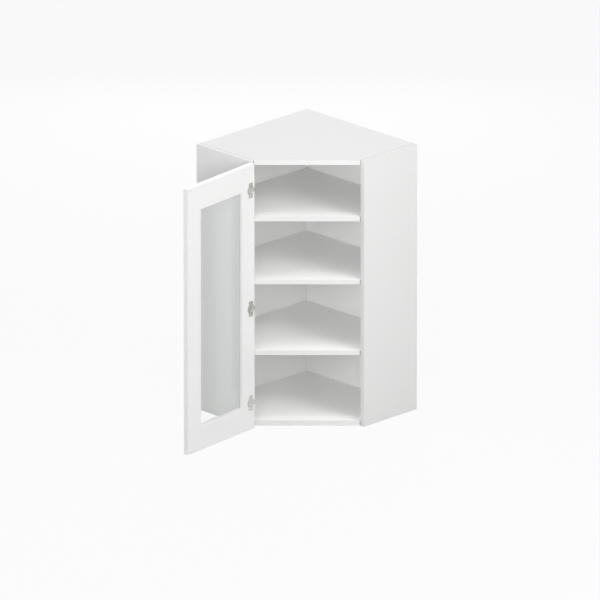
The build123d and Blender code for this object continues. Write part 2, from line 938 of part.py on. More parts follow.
def write(name, shapes):
    """Writes one node: one solid, or a group of separate solids."""
    shapes = shapes if isinstance(shapes, list) else [shapes]
    solids = [solid for shape in shapes for solid in shape.solids()]
    whole = solids[0] if len(solids) == 1 else Compound(children=solids)
    export_step(whole, f"parts/{name}.step")


os.makedirs("parts", exist_ok=True)

write("top_panel", level_panel(height - board))
write("bottom_panel", level_panel(0))
write("right_side_panel", end_panel())
write("left_side_panel", left_side_panel())
write("right_back_panel", right_back_panel())
write("left_back_panel", left_back_panel())
write("back_corner_angle", back_corner_angle())
write("back_corner_screws", back_corner_screws())

for name, underside in shelf_undersides.items():
    write(f"{name}_shelf", shelf(underside))
    write(f"{name}_shelf_pins", shelf_pins(underside))
    write(f"{name}_shelf_bracket", shelf_bracket(underside))
write("bracket_screws", bracket_screws())

write("panel_locks", both_sides([lock(*place) for place in lock_places()]))
write("panel_lock_bolts", both_sides([lock_bolt(*place) for place in lock_places()]))
write("panel_lock_caps", both_sides([lock_cap(*place) for place in lock_places()]))
write("panel_dowels", both_sides(dowel_bars()))

for side, place in (("right", lambda shape: shape), ("left", to_left)):
    write(f"{side}_hanger_housing", place(hanger_housing()))
    write(f"{side}_hanger_hook", place(hanger_hook()))
    write(f"{side}_wall_plate", place(wall_plate()))
hanger_screws = [screw(at, out, hanger_screw_length) for at, out in hanger_screw_places()]
write("hanger_screws", both_sides(hanger_screws))
write("hanger_adjusters", both_sides(adjusters()))

write("hinge_stile", swing_open(hinge_stile()))
write("free_stile", swing_open(door_stile(1)))
write("top_rail", swing_open(door_rail("top")))
write("bottom_rail", swing_open(door_rail("bottom")))
write("glass_pane", swing_open(glass_pane()))
write("glass_seal", swing_open(glass_seal()))
for side in ("hinge_side", "free_side", "top", "bottom"):
    write(f"{side}_bead", swing_open(bead(side)))
write("door_bumpers", [swing_open(pad) for pad in bumpers()])

for name, level in hinge_levels().items():
    write(f"{name}_hinge_arm", hinge_arm(level))
    write(f"{name}_hinge_plate", mount_plate(level))
    write(f"{name}_hinge_pin", hinge_pin(level))
    write(f"{name}_hinge_cup", swing_open(hinge_cup(level)))
write("hinge_arm_screws", arm_screws())
write("hinge_plate_screws", wing_screws())
write("hinge_cup_screws", [swing_open(part) for part in cup_screws()])
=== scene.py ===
import math

import bmesh
import bpy
import numpy as np
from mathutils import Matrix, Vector


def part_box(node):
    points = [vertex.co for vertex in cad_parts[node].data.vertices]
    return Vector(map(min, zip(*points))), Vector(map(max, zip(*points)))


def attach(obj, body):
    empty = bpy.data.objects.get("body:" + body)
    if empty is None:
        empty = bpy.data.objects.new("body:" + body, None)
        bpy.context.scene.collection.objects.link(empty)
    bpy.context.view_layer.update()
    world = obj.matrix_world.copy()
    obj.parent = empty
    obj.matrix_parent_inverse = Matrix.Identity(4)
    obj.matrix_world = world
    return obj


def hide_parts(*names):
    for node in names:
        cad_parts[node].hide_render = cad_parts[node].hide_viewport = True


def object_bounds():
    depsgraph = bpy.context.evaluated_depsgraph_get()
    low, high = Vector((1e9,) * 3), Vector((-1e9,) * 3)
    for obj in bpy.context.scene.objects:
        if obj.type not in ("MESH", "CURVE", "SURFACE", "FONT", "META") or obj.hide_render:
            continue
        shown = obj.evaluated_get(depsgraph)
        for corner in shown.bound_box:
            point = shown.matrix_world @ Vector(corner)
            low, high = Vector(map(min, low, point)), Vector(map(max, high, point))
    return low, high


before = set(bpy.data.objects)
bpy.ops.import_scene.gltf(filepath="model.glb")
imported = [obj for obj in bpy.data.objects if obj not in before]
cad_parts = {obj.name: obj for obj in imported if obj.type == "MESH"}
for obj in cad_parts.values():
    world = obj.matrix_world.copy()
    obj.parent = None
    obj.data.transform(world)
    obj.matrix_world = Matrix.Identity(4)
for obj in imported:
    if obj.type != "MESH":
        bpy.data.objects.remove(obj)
cad_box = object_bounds()


# Boards of the carcass
# Chipboard faced with light grey melamine, its seen edges covered with a plastic band
# glued on with a thin dark seam. Edges that meet a wall are left raw, and bores show the chips.
# Along each cut end that meets another board a dark line is painted: painted shade of the groove
# between the eased edges, together with the raw chipboard of the cut end.

ROOT2 = math.sqrt(2)
MM = 0.001


class Field:
    """A value that varies over a surface; arithmetic on it adds Math nodes to its finish."""

    def __init__(self, finish, socket):
        self.finish = finish
        self.socket = socket

    def combined(self, operation, first, second=None):
        values = {0: first} if second is None else {0: first, 1: second}
        return self.finish.add("ShaderNodeMath", {"operation": operation}, values)["Value"]

    def __add__(self, other):
        return self.combined("ADD", self, other)

    def __radd__(self, other):
        return self.combined("ADD", other, self)

    def __sub__(self, other):
        return self.combined("SUBTRACT", self, other)

    def __rsub__(self, other):
        return self.combined("SUBTRACT", other, self)

    def __mul__(self, other):
        return self.combined("MULTIPLY", self, other)

    def __rmul__(self, other):
        return self.combined("MULTIPLY", other, self)

    def __abs__(self):
        return self.combined("ABSOLUTE", self)

    def most(self, other):
        return self.combined("MAXIMUM", self, other)

    def least(self, other):
        return self.combined("MINIMUM", self, other)

    def step(self, start, end):
        """0 before start, 1 after end, and a smooth rise between them; start may be the higher."""
        settings = {"interpolation_type": "SMOOTHSTEP"}
        values = {"Value": self, "From Min": start, "From Max": end}
        return self.finish.add("ShaderNodeMapRange", settings, values)["Result"]


class Finish:
    """A surface finish: one material, or the world, whose shader is fed by fields."""

    def __init__(self, name, world=None):
        self.material = world or bpy.data.materials.new(name)
        self.material.use_nodes = True
        self.tree = self.material.node_tree
        self.tree.nodes.clear()
        self.place = self.add("ShaderNodeTexCoord")["Object"]

    def add(self, kind, settings=None, values=None):
        """Adds a node: its settings first, then its sockets' values or links, by name or number."""
        node = self.tree.nodes.new(kind)
        for name, value in (settings or {}).items():
            if name == "stops":
                self.set_stops(node.color_ramp, value)
            else:
                setattr(node, name, value)
        for name, value in (values or {}).items():
            if isinstance(value, Field):
                self.tree.links.new(value.socket, node.inputs[name])
            else:
                node.inputs[name].default_value = value
        return {socket.name: Field(self, socket) for socket in node.outputs if socket.enabled}

    def set_stops(self, ramp, stops):
        """Colour stops as (place, colour) pairs, lowest first."""
        while len(ramp.elements) < len(stops):
            ramp.elements.new(1.0)
        for element, (place, colour) in zip(ramp.elements, stops):
            element.position = place
            element.color = (*colour, 1.0)

    def axes(self):
        """The three coordinates of a surface point, in metres, in the room's frame."""
        parts = self.add("ShaderNodeSeparateXYZ", values={0: self.place})
        return parts["X"], parts["Y"], parts["Z"]

    def along(self, direction):
        """Distance of a surface point from the origin along a direction."""
        settings = {"operation": "DOT_PRODUCT"}
        return self.add("ShaderNodeVectorMath", settings, {0: self.place, 1: direction})["Value"]

    def stretched(self, scale):
        """The surface point with each axis scaled by its own number."""
        return self.add("ShaderNodeMapping", values={0: self.place, "Scale": scale})["Vector"]

    def noise(self, scale, detail=2.0, rough=0.5, place=None):
        """Cloudy noise of 0 to 1; one over scale is the size of its spots in metres."""
        values = {"Vector": place or self.place, "Scale": scale, "Detail": detail}
        values["Roughness"] = rough
        return self.add("ShaderNodeTexNoise", values=values)["Fac"]

    def cells(self, scale, place=None):
        """A random colour for each cell of a Voronoi pattern, as one number."""
        values = {"Vector": place or self.place, "Scale": scale}
        colour = self.add("ShaderNodeTexVoronoi", values=values)["Color"]
        return self.add("ShaderNodeSeparateColor", values={0: colour})["Red"]

    def ramp(self, field, stops):
        return self.add("ShaderNodeValToRGB", {"stops": stops}, {0: field})["Color"]

    def blend(self, mask, first, second):
        """The first colour where mask is 0, the second where it is 1."""
        colours = [value if isinstance(value, Field) else (*value, 1.0) for value in (first, second)]
        settings = {"data_type": "RGBA"}
        values = {0: mask, 6: colours[0], 7: colours[1]}
        return self.add("ShaderNodeMix", settings, values)["Result"]

    def bump(self, height, depth):
        """A normal from a height field of 0 to 1, whose full rise is depth metres."""
        return self.add("ShaderNodeBump", values={"Height": height, "Distance": depth})["Normal"]

    def shade(self, **sockets):
        """Ends the finish with its Principled shader; socket names have _ for a space."""
        values = {}
        for name, value in sockets.items():
            if isinstance(value, tuple) and len(value) == 3:
                value = (*value, 1.0)
            values[name.replace("_", " ")] = value
        shader = self.add("ShaderNodeBsdfPrincipled", values=values)["BSDF"]
        self.add("ShaderNodeOutputMaterial", values={"Surface": shader})
        return self.material


def finish_node(node, material):
    """Gives a carried-over node one finish in place of its CAD colours."""
    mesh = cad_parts[node].data
    mesh.materials.clear()
    mesh.materials.append(material)


BAND = 0.8 * MM
SEAM = 0.35 * MM
FACING = 0.3 * MM
# Width of the dark line along cut ends: painted shade of the joint's groove, with the raw chipboard
# end
END_SHADE_WIDTH = 1.3 * MM
PEARL_DEPTH = 0.03 * MM
CHIPS_TO_PEARLS = 12
# Spots per metre of the melamine's clouds and pearls, and of the chips that a cut lays open
CLOUDS = 4.0
PEARLS = 1400.0
LARGE_CHIPS = 430.0
SMALL_CHIPS = 950.0
CHIP_DUST = 700.0
CHIP_RELIEF = 1100.0
MELAMINE_ROUGH = 0.44
MELAMINE_GREY = (0.83, 0.83, 0.825)
BAND_GREY = (0.84, 0.84, 0.835)
SEAM_DARK = (0.42, 0.41, 0.40)
SEAM_STRENGTH = 0.6
# Colour of that line: painted shade in the groove where boards meet, over the raw chipboard end
RAW_END_AND_SHADE_DARK = (0.20, 0.18, 0.16)
CHIP_STOPS = [
    (0.0, (0.26, 0.16, 0.08)),
    (0.28, (0.52, 0.38, 0.23)),
    (0.6, (0.68, 0.53, 0.35)),
    (1.0, (0.80, 0.67, 0.48)),
]


def far_away(finish):
    """A distance of over a metre everywhere, for a board that lacks the edge in question."""
    return finish.axes()[2] + 2.0


def board_finish(name, inside, from_band=far_away, from_cut=far_away):
    """Melamine board. inside is the depth under the nearer face, from_band the distance back
    from the band's outer side, and from_cut the distance from the cut ends that meet other
    boards, each worked out by a function of the finish. Every change from one layer to the next
    is spread over a small share of the layer's width."""
    finish = Finish(name)
    depth = inside(finish)
    back = from_band(finish)
    # Mask of the dark line along cut ends that meet other boards: painted shade of the joint's
    # groove and the raw chipboard end
    cut = from_cut(finish).step(END_SHADE_WIDTH, 0.7 * END_SHADE_WIDTH)
    core = depth.step(FACING, 1.3 * FACING) * back.step(BAND, 1.05 * BAND)
    band = back.step(BAND, 0.95 * BAND)
    seam = abs(back - BAND).step(SEAM, 0.5 * SEAM)
    clouds = finish.noise(CLOUDS, 3.0)
    pearls = finish.noise(PEARLS, 2.0, 0.6)
    face = finish.blend(clouds, MELAMINE_GREY, tuple(0.985 * c for c in MELAMINE_GREY))
    flakes = finish.cells(LARGE_CHIPS) * 0.35 + finish.cells(SMALL_CHIPS) * 0.25
    chips = finish.ramp(flakes + finish.noise(CHIP_DUST, 5.0) * 0.4, CHIP_STOPS)
    colour = finish.blend(band, face, BAND_GREY)
    colour = finish.blend(seam * SEAM_STRENGTH, colour, SEAM_DARK)
    colour = finish.blend(core, colour, chips)
    colour = finish.blend(cut, colour, RAW_END_AND_SHADE_DARK)
    rough = MELAMINE_ROUGH + pearls * 0.10 + core * 0.4
    height = pearls * (1 - band) + finish.noise(CHIP_RELIEF, 4.0) * core * CHIPS_TO_PEARLS
    return finish.shade(
        Base_Color=colour, Roughness=rough, Normal=finish.bump(height, PEARL_DEPTH)
    )


def under_faces(node, across):
    """The depth under the nearer of a board's two faces, which lie square to the named axis."""
    low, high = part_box(node)
    index = "xyz".index(across)

    def inside(finish):
        place = finish.axes()[index]
        return (place - low[index]).least(high[index] - place)

    return inside


def points_of(node):
    """The corner points of a node's mesh, one row each."""
    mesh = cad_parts[node].data
    points = np.empty(3 * len(mesh.vertices))
    mesh.vertices.foreach_get("co", points)
    return points.reshape(-1, 3)


def front_plane(node):
    """The greatest distance of a node's points along the diagonal out of the corner."""
    points = points_of(node)
    return float(((points[:, 0] - points[:, 1]) / ROOT2).max())


def level_board(node):
    """A level board: faces above and below, its band on the diagonal front."""
    low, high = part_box(node)
    front = front_plane(node)

    def from_band(finish):
        return front - finish.along((1 / ROOT2, -1 / ROOT2, 0))

    def from_cut(finish):
        x, y, z = finish.axes()
        return (high.x - x).least(y - low.y)

    return board_finish(node, under_faces(node, "z"), from_band, from_cut)


def add_piece(name, mesh, body, finish, node):
    """Puts a mesh in the scene as a piece that rides on a body and stands for a CAD node."""
    piece = bpy.data.objects.new(name, mesh)
    bpy.context.scene.collection.objects.link(piece)
    mesh.materials.clear()
    mesh.materials.append(finish)
    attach(piece, body)
    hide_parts(node)


MICRON = 0.001 * MM
EDGE_EASE = 0.8 * MM
SHORTEST_EASED = 9.0 * MM
LEAST_CORNER = math.radians(50)
FLAT = math.radians(0.5)


def eased_board(node, finish):
    """The board that is seen in a node's place: the node's mesh with its doubles merged and flat
    neighbours joined, and each long convex corner edge cut back to two narrow facets."""
    board = bmesh.new()
    board.from_mesh(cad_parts[node].data)
    bmesh.ops.remove_doubles(board, verts=board.verts, dist=MICRON)
    bmesh.ops.dissolve_limit(board, angle_limit=FLAT, verts=board.verts, edges=board.edges)
    corners = [
        edge for edge in board.edges
        if edge.is_manifold and edge.is_convex and edge.calc_length() > SHORTEST_EASED
        and edge.calc_face_angle() > LEAST_CORNER
    ]
    bmesh.ops.bevel(
        board, geom=corners, offset=EDGE_EASE, segments=2, profile=0.5, affect="EDGES",
        clamp_overlap=True,
    )
    bmesh.ops.triangulate(board, faces=[face for face in board.faces if len(face.verts) > 4])
    mesh = bpy.data.meshes.new(f"{node}_eased")
    board.to_mesh(mesh)
    board.free()
    mesh.shade_flat()
    add_piece(f"{node}_board", mesh, "carcass", finish, node)


SHELVES = ("lower", "middle", "upper")
LEVEL_BOARDS = ["top_panel", "bottom_panel"] + [f"{name}_shelf" for name in SHELVES]
for node in LEVEL_BOARDS:
    eased_board(node, level_board(node))


def side_board(node, across):
    """A side panel: faces square to the named axis, its band on the front and on both ends."""
    low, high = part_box(node)

    def from_band(finish):
        x, y, z = finish.axes()
        from_front = (y - low.y) if across == "x" else (high.x - x)
        return from_front.least((high.z - z).least(z - low.z))

    return board_finish(node, under_faces(node, across), from_band)


eased_board("right_side_panel", side_board("right_side_panel", "x"))
eased_board("left_side_panel", side_board("left_side_panel", "y"))


# Back panels
# Thin board with the same grey facing, slid into grooves of the boards round it. The right panel
# runs through behind the corner, and the left one butts against it.

for node, across in (("right_back_panel", "y"), ("left_back_panel", "x")):
    finish_node(node, board_finish(node, under_faces(node, across)))


# Steel fittings
# The corner angle, shelf brackets, hooks and wall plates are made from zinc-plated sheet. The
# eccentric locks and their bolts, which draw the side panels on, have the same plating.

ZINC = (0.55, 0.56, 0.58)


def zinc_finish(name):
    """Dull plating with crystal grains that differ a little in brightness."""
    finish = Finish(name)
    grains = finish.cells(260.0)
    cloud = finish.noise(60.0, 3.0)
    bright = grains * 0.25 + cloud * 0.35
    colour = finish.blend(bright, ZINC, tuple(1.12 * c for c in ZINC))
    rough = 0.34 + cloud * 0.14
    height = finish.noise(700.0, 3.0)
    return finish.shade(
        Base_Color=colour, Roughness=rough, Metallic=1.0, Normal=finish.bump(height, 0.01 * MM)
    )


zinc = zinc_finish("zinc_plated_steel")
ZINC_NODES = ["back_corner_angle", "right_hanger_hook", "left_hanger_hook"]
ZINC_NODES += ["right_wall_plate", "left_wall_plate", "panel_locks", "panel_lock_bolts"]
ZINC_NODES += [f"{name}_shelf_bracket" for name in SHELVES]
for node in ZINC_NODES:
    finish_node(node, zinc)


# Screws of the carcass
# Pan-head chipboard screws with a cross recess and a coarse thread, in every hole of the corner
# angle, the shelf brackets and the hangers, and the hangers' blunt adjusting screws.

AROUND = 48
THREAD_ROWS = 6
RADIUS_SLACK = 0.1 * MM


def solids_of(node):
    """The node's separate solids, each as an array of its corner points. Points a micron apart
    count as one, and each solid's points take on the lowest label that its edges pass round."""
    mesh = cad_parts[node].data
    grid = np.round(points_of(node) / MICRON).astype(int)
    corners, places = np.unique(grid, axis=0, return_inverse=True)
    ends = np.empty(2 * len(mesh.edges), dtype=int)
    mesh.edges.foreach_get("vertices", ends)
    ends = places.reshape(-1)[ends].reshape(-1, 2)
    labels = np.arange(len(corners))
    before = None
    while before is None or (labels != before).any():
        before = labels.copy()
        lowest = labels[ends].min(axis=1)
        np.minimum.at(labels, ends[:, 0], lowest)
        np.minimum.at(labels, ends[:, 1], lowest)
    return [corners[labels == label] * MICRON for label in np.unique(labels)]


def turning_axis(points):
    """Where a many-sided turned solid lies: the one direction in which its points spread unlike
    the other two, pointing to the widest end. Gives a point on the axis, three unit vectors with
    the axis last, and the points' levels along the axis and distances from it."""
    heart = points.mean(axis=0)
    spreads, directions = np.linalg.eigh(np.cov(points.T))
    odd = 2 if spreads[2] - spreads[1] > spreads[1] - spreads[0] else 0
    axis = directions[:, odd]
    levels = (points - heart) @ axis
    radii = np.linalg.norm(points - heart - np.outer(levels, axis), axis=1)
    widest = radii > radii.max() - RADIUS_SLACK
    if levels[widest].mean() < 0:
        axis, levels = -axis, -levels
    side = np.cross(axis, (0.0, 0.0, 1.0))
    if np.linalg.norm(side) < 0.5:
        side = np.array((1.0, 0.0, 0.0))
    side = side / np.linalg.norm(side)
    return heart, (side, np.cross(axis, side), axis), levels, radii


def closed_tube(heart, axes, radii, levels):
    """Points, and faces of four and of three corners, of a turned form. Radii and levels have one
    row per ring and one column per angle; a point is the heart, plus radius times the turned side
    vector, plus level times the axis. Each end is closed by a fan round its ring's middle."""
    rings, around = radii.shape
    angles = 2 * np.pi * np.arange(around) / around
    spokes = np.outer(np.cos(angles), axes[0]) + np.outer(np.sin(angles), axes[1])
    grid = heart + radii[..., None] * spokes + levels[..., None] * axes[2]
    points = np.concatenate([grid.reshape(-1, 3), grid[[0, -1]].mean(axis=1)])
    count = rings * around
    index = np.arange(count).reshape(rings, around)
    onward = np.roll(index, -1, axis=1)
    quads = np.stack([index[:-1], onward[:-1], onward[1:], index[1:]], axis=-1).reshape(-1, 4)
    start = np.stack([onward[0], index[0], np.full(around, count)], axis=-1)
    end = np.stack([index[-1], onward[-1], np.full(around, count + 1)], axis=-1)
    return points, (quads, np.concatenate([start, end]))


ARM_SIDE = math.tan(math.radians(15))


def cross_outline(arm):
    """Radius of a cross's outline at each angle: the arm's end where the ray leaves through it,
    which is arm / cos, or else the arm's side, which is half its width / sin."""
    angles = 2 * np.pi * np.arange(AROUND) / AROUND
    folded = np.abs((angles + np.pi / 4) % (np.pi / 2) - np.pi / 4)
    with np.errstate(divide="ignore"):
        return np.minimum(arm / np.cos(folded), arm * ARM_SIDE / np.sin(folded))


# A screw's end: its taper in shank radii, its least width as a share, half a ridge in pitches
SHARP = (2.2, 0.06, 0.28)
BLUNT = (0.6, 0.5, 0.5)
THREAD_CORE = 0.66
PLAIN_NECK = 0.3
# The head's rim as shares of its radius and thickness, and the radii of the rings on its dome
RIM_RADII = (0.97, 1.0, 1.0)
RIM_RISES = (0.0, 0.06, 0.34)
DOME_RADII = (0.985, 0.93, 0.84, 0.74)
DOME_FOOT = 0.40
DOME_POWER = 2.6
# The cross recess as shares of the head's radius, of its own outline and of the head's thickness
CROSS_REACH = 0.56
CROSS_WALL = 0.94
CROSS_FLOOR = 0.62
WALL_DROP = 0.08
FLOOR_RISE = 0.12


def screw_rings(tip, under, top, shank, head, pitch, ending):
    """Radii and levels of a screw's rings, from its tip to the floor of its cross recess. The
    thread's radius rises from core to crest once a pitch, later by one pitch a turn; the dome
    falls off with a power of its radius."""
    taper, least, half_ridge = ending
    angles = np.arange(AROUND) / AROUND
    ones = np.ones(AROUND)
    core = THREAD_CORE * shank
    steps = int((under - tip) / pitch * THREAD_ROWS)
    climb = np.linspace(tip, under - PLAIN_NECK * pitch, steps)
    turn = ((climb[:, None] - tip) / pitch - angles) % 1.0
    ridge = np.clip(1 - np.abs(turn - 0.5) / half_ridge, 0, 1)
    narrow = np.clip((climb - tip) / (taper * shank), least, 1)[:, None]
    shaft = (core + (shank - core) * ridge) * narrow

    def on_dome(share):
        return DOME_FOOT + (1 - DOME_FOOT) * (1 - share ** DOME_POWER)

    cross = cross_outline(CROSS_REACH)
    rises = np.concatenate([RIM_RISES, on_dome(np.array(DOME_RADII))])
    shares = [
        np.outer(RIM_RADII + DOME_RADII, ones),
        [cross, CROSS_WALL * cross, CROSS_FLOOR * cross],
    ]
    heights = [
        np.outer(rises, ones),
        [on_dome(cross), on_dome(cross) - WALL_DROP, FLOOR_RISE * ones],
    ]
    radii = np.concatenate([shaft, head * np.concatenate(shares)])
    levels = np.concatenate([np.outer(climb, ones), under + (top - under) * np.concatenate(heights)])
    return radii, levels


SMOOTH_UNDER = math.radians(40)


def joined_mesh(name, parts):
    """One mesh of several closed tubes, smooth where faces meet at a low angle."""
    points, faces, count = [], [], 0
    for part_points, (quads, fans) in parts:
        points.append(part_points)
        faces += (quads + count).tolist() + (fans + count).tolist()
        count += len(part_points)
    mesh = bpy.data.meshes.new(name)
    mesh.from_pydata(np.concatenate(points).tolist(), [], faces)
    mesh.shade_smooth()
    mesh.set_sharp_from_angle(angle=SMOOTH_UNDER)
    return mesh


def screws(node, body, finish, pitch, ending=SHARP):
    """Models every screw of a node round its own axis and between its own levels."""
    parts = []
    for points in solids_of(node):
        heart, axes, levels, radii = turning_axis(points)
        head_points = radii > (radii.max() + radii.min()) / 2
        head, shank = radii[head_points].max(), radii[~head_points].max()
        under = levels[head_points].min()
        rings = screw_rings(levels.min(), under, levels.max(), shank, head, pitch, ending)
        parts.append(closed_tube(heart, axes, *rings))
    add_piece(f"{node}_turned", joined_mesh(node, parts), body, finish, node)


CHIPBOARD_PITCH = 1.5 * MM
ADJUSTER_PITCH = 0.9 * MM
for node in ("back_corner_screws", "bracket_screws", "hanger_screws"):
    screws(node, "carcass", zinc, CHIPBOARD_PITCH)
screws("hanger_adjusters", "carcass", zinc, ADJUSTER_PITCH, BLUNT)


# Hinges and shelf pins
# Pressed steel with bright nickel plating: the cups are screwed into the hinge stile, the plates
# on the left side panel, and a pin through the knuckles joins each cup and arm.

NICKEL = (0.60, 0.585, 0.56)
PLATE_SCREW_PITCH = 1.8 * MM
ARM_SCREW_PITCH = 0.7 * MM


def nickel_finish(name):
    """Bright plating with faint upright streaks from rolling."""
    finish = Finish(name)
    streaks = finish.noise(500.0, 3.0, place=finish.stretched((1.0, 1.0, 0.12)))
    colour = finish.blend(streaks, NICKEL, tuple(1.15 * c for c in NICKEL))
    rough = 0.20 + streaks * 0.12
    return finish.shade(
        Base_Color=colour, Roughness=rough, Metallic=1.0, Normal=finish.bump(streaks, 0.004 * MM)
    )


nickel = nickel_finish("nickel_plated_steel")
for name in SHELVES:
    finish_node(f"{name}_shelf_pins", nickel)
    for part in ("arm", "plate", "pin", "cup"):
        finish_node(f"{name}_hinge_{part}", nickel)
screws("hinge_plate_screws", "carcass", nickel, PLATE_SCREW_PITCH)
screws("hinge_cup_screws", "door", nickel, CHIPBOARD_PITCH)
screws("hinge_arm_screws", "carcass", nickel, ARM_SCREW_PITCH, BLUNT)


# Plastic fittings
# The hanger housings and the caps over the locks are moulded in pale grey plastic. The housings
# are screwed to the side panels in the top back corners, and each cap covers one lock.

def plastic_finish(name, colour, rough):
    """Moulded plastic with a fine skin and hardly any change of shade."""
    finish = Finish(name)
    skin = finish.noise(2200.0, 2.0)
    shade = finish.blend(finish.noise(25.0, 2.0), colour, tuple(0.97 * c for c in colour))
    return finish.shade(
        Base_Color=shade, Roughness=rough + skin * 0.08, Normal=finish.bump(skin, 0.02 * MM)
    )


moulded = plastic_finish("moulded_plastic", (0.72, 0.72, 0.72), 0.42)
finish_node("right_hanger_housing", moulded)
finish_node("left_hanger_housing", moulded)

# A cap from one face to the other: shares of its radius, and of its thickness
CAP_RINGS = np.array(
    [(0.60, 0.0), (0.94, 0.0), (0.985, 0.10), (1.0, 0.35), (1.0, 0.65), (0.985, 0.88)]
    + [(0.95, 0.98), (0.90, 1.0), (0.70, 1.0), (0.68, 0.93), (0.64, 0.90), (0.30, 0.90)]
)


def facing(axes, out):
    """The same axes, turned over where the last one points against out."""
    side, up, axis = axes
    return axes if np.dot(axis, out) > 0 else (side, -up, -axis)


caps = []
for points in solids_of("panel_lock_caps"):
    heart, axes, levels, radii = turning_axis(points)
    over_half_way = heart[2] > (cad_box[0].z + cad_box[1].z) / 2
    axes = facing(axes, (0.0, 0.0, -1.0 if over_half_way else 1.0))
    wide = np.outer(CAP_RINGS[:, 0] * radii.max(), np.ones(AROUND))
    high = np.outer((CAP_RINGS[:, 1] - 0.5) * np.ptp(levels), np.ones(AROUND))
    caps.append(closed_tube(heart, axes, wide, high))
cap_mesh = joined_mesh("lock_caps", caps)
add_piece("lock_caps", cap_mesh, "carcass", moulded, "panel_lock_caps")


# Dowels
# Fluted beech pegs between the side panels and the top and bottom panels, hidden in the joints
# that they line up.

def beech_finish():
    """Beech with its grain along the pegs: those on the right lie along x, the others along y."""
    finish = Finish("beech")
    x, y, z = finish.axes()
    on_right = (x + y).step(-0.1, 0.1)
    along_x = finish.noise(900.0, 4.0, place=finish.stretched((0.1, 1.0, 1.0)))
    along_y = finish.noise(900.0, 4.0, place=finish.stretched((1.0, 0.1, 1.0)))
    grain = along_x * on_right + along_y * (1 - on_right)
    colour = finish.blend(grain, (0.62, 0.44, 0.28), (0.76, 0.60, 0.42))
    return finish.shade(Base_Color=colour, Roughness=0.6 + grain * 0.1)


# A peg from end to end: shares of its radius, and of its length
DOWEL_RINGS = np.array(
    [(0.72, 0.0), (0.97, 0.05), (1.0, 0.08), (1.0, 0.92), (0.97, 0.95), (0.72, 1.0)]
)
FLUTES = 16
FLUTE_FLOOR = 0.93
flute = np.where(np.arange(AROUND) % (AROUND // FLUTES), 1.0, FLUTE_FLOOR)
pegs = []
for points in solids_of("panel_dowels"):
    heart, axes, levels, radii = turning_axis(points)
    wide = np.outer(DOWEL_RINGS[:, 0] * radii.max(), flute)
    high = np.outer((DOWEL_RINGS[:, 1] - 0.5) * np.ptp(levels), np.ones(AROUND))
    pegs.append(closed_tube(heart, axes, wide, high))
peg_mesh = joined_mesh("fluted_dowels", pegs)
add_piece("fluted_dowels", peg_mesh, "carcass", beech_finish(), "panel_dowels")


# Door frame
# Stiles, rails and glass beads are fibreboard sprayed with satin white lacquer. The rails' tenons
# are glued into the stiles, and the mitred beads hold the glass from the inner side.

LACQUER_WHITE = (0.90, 0.90, 0.895)


def lacquer_finish():
    """Sprayed lacquer with a faint orange peel and the finest dust in it."""
    finish = Finish("white_lacquer")
    peel = finish.noise(260.0, 2.0)
    dust = finish.noise(1500.0, 2.0)
    clouds = finish.noise(3.0, 2.0)
    colour = finish.blend(clouds, LACQUER_WHITE, tuple(0.99 * c for c in LACQUER_WHITE))
    rough = 0.30 + dust * 0.06
    return finish.shade(Base_Color=colour, Roughness=rough, Normal=finish.bump(peel, 0.02 * MM))


lacquer = lacquer_finish()
BEADS = ("hinge_side_bead", "free_side_bead", "top_bead", "bottom_bead")
for node in ("hinge_stile", "free_stile", "top_rail", "bottom_rail") + BEADS:
    finish_node(node, lacquer)


# Glass
# A pane of clear toughened glass, bedded on a soft grey seal, its edges hidden by the frame's lip
# and the beads.

GLASS_TINT = (0.955, 0.97, 0.962, 1.0)
LAMPLIGHT_TINT = (0.93, 0.945, 0.938, 1.0)


def glass_finish():
    """Clear glass that lets the lamps' light straight through, a little dimmed."""
    finish = Finish("clear_glass")
    sockets = {"Base Color": GLASS_TINT, "Roughness": 0.0, "IOR": 1.5, "Transmission Weight": 1.0}
    glass = finish.add("ShaderNodeBsdfPrincipled", values=sockets)["BSDF"]
    clear = finish.add("ShaderNodeBsdfTransparent", values={"Color": LAMPLIGHT_TINT})["BSDF"]
    light = finish.add("ShaderNodeLightPath")
    lamps = light["Is Shadow Ray"].most(light["Is Diffuse Ray"])
    mixed = finish.add("ShaderNodeMixShader", values={0: lamps, 1: glass, 2: clear})["Shader"]
    finish.add("ShaderNodeOutputMaterial", values={"Surface": mixed})
    return finish.material


finish_node("glass_pane", glass_finish())
finish_node("glass_seal", plastic_finish("soft_seal", (0.60, 0.60, 0.60), 0.55))


# Bumpers
# Two soft pads stuck to the door's inner face on its free side, which meet the fronts of the top
# and bottom panels.

finish_node("door_bumpers", plastic_finish("soft_pad", (0.80, 0.81, 0.82), 0.3))


# Studio
# A pale floor under the cabinet, a white surround, and soft lamps.

WHITE = (1.0, 1.0, 1.0, 1.0)
FLOOR_GREY = (0.50, 0.50, 0.50, 1.0)
FLOOR_WHITENESS = 0.94
WORLD_LIGHT = 0.07


def seen_rays(finish):
    """1 where the camera looks straight at a surface, in a reflection or through glass."""
    light = finish.add("ShaderNodeLightPath")
    return light["Is Camera Ray"].most(light["Is Glossy Ray"]).most(light["Is Transmission Ray"])


def floor_finish():
    """A matt floor that looks nearly white to the camera, still takes the shadow, and is clear
    from below."""
    finish = Finish("pale_floor")
    matt = finish.add("ShaderNodeBsdfDiffuse", values={"Color": FLOOR_GREY})["BSDF"]
    white = finish.add("ShaderNodeEmission", values={"Color": WHITE, "Strength": 1.0})["Emission"]
    share = seen_rays(finish) * FLOOR_WHITENESS
    mixed = finish.add("ShaderNodeMixShader", values={0: share, 1: matt, 2: white})["Shader"]
    clear = finish.add("ShaderNodeBsdfTransparent")["BSDF"]
    below = finish.add("ShaderNodeNewGeometry")["Backfacing"]
    whole = finish.add("ShaderNodeMixShader", values={0: below, 1: mixed, 2: clear})["Shader"]
    finish.add("ShaderNodeOutputMaterial", values={"Surface": whole})
    return finish.material


